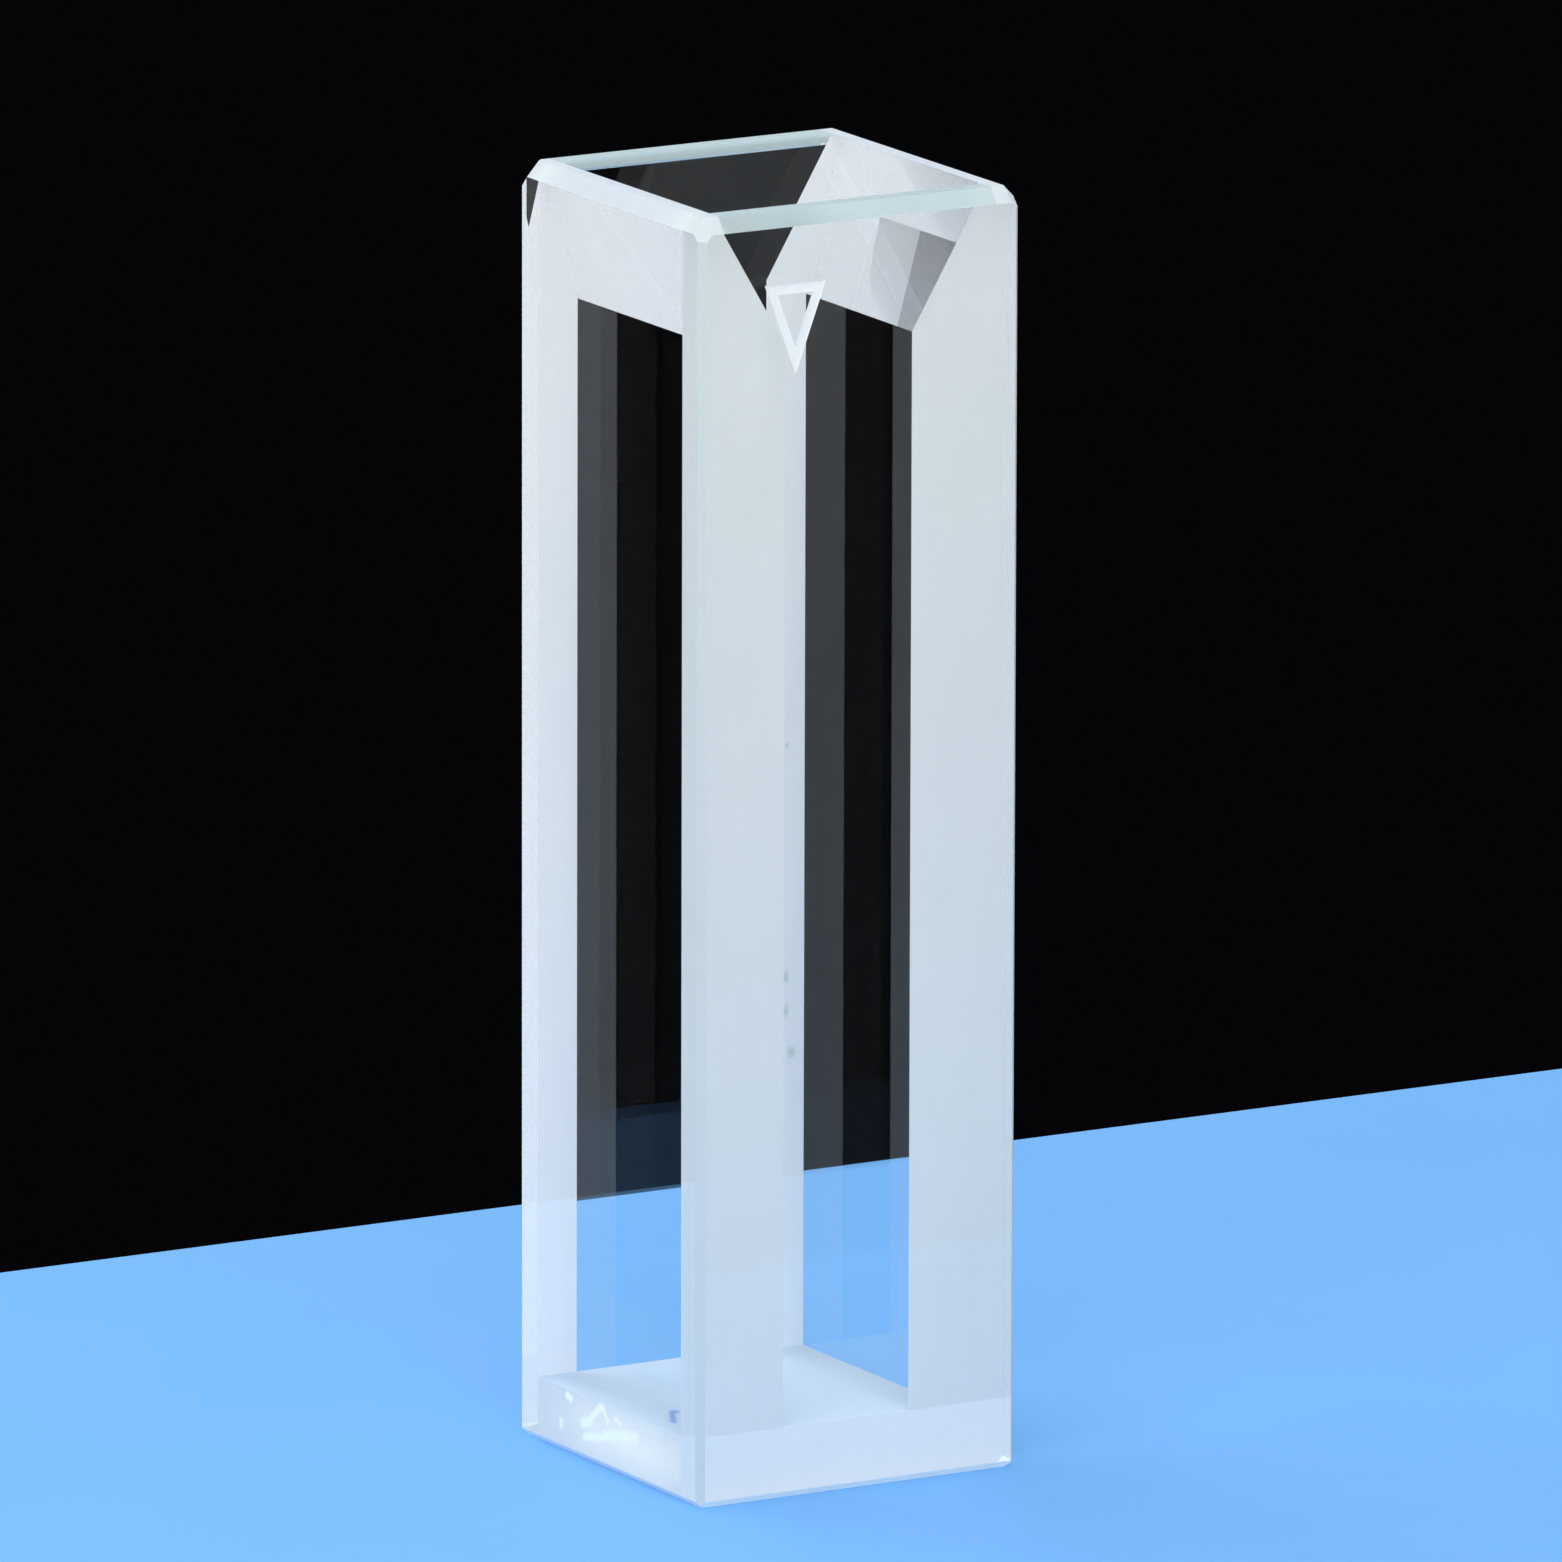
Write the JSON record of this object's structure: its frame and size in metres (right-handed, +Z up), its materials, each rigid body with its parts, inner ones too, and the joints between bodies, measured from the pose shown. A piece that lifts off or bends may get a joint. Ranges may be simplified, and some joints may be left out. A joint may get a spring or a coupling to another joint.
{
  "type": "cuvette",
  "caption": "Square quartz cuvette with clear windows, side blocks whose bonded faces are ground white, and a narrow chamber with a funnel mouth, for holding a liquid sample in a light beam.",
  "frame": {"origin": "middle of the underside, where the cuvette stands", "axes": "+Z up towards the mouth, -Y towards the front window that carries the etched mark, X across the chamber's width"},
  "size_m": [0.0126, 0.0126, 0.045],
  "materials": {
    "polished_quartz": "polished fused quartz, clear, with a ground rim",
    "ground_quartz": "fused quartz with finely ground white bonded faces, and polished outer, chamber and funnel faces"
  },
  "bodies": {
    "root": {"window_front": "polished_quartz", "window_back": "polished_quartz", "side_block_left": "ground_quartz", "side_block_right": "ground_quartz", "base_plate": "ground_quartz"}
  },
  "joints": []
}
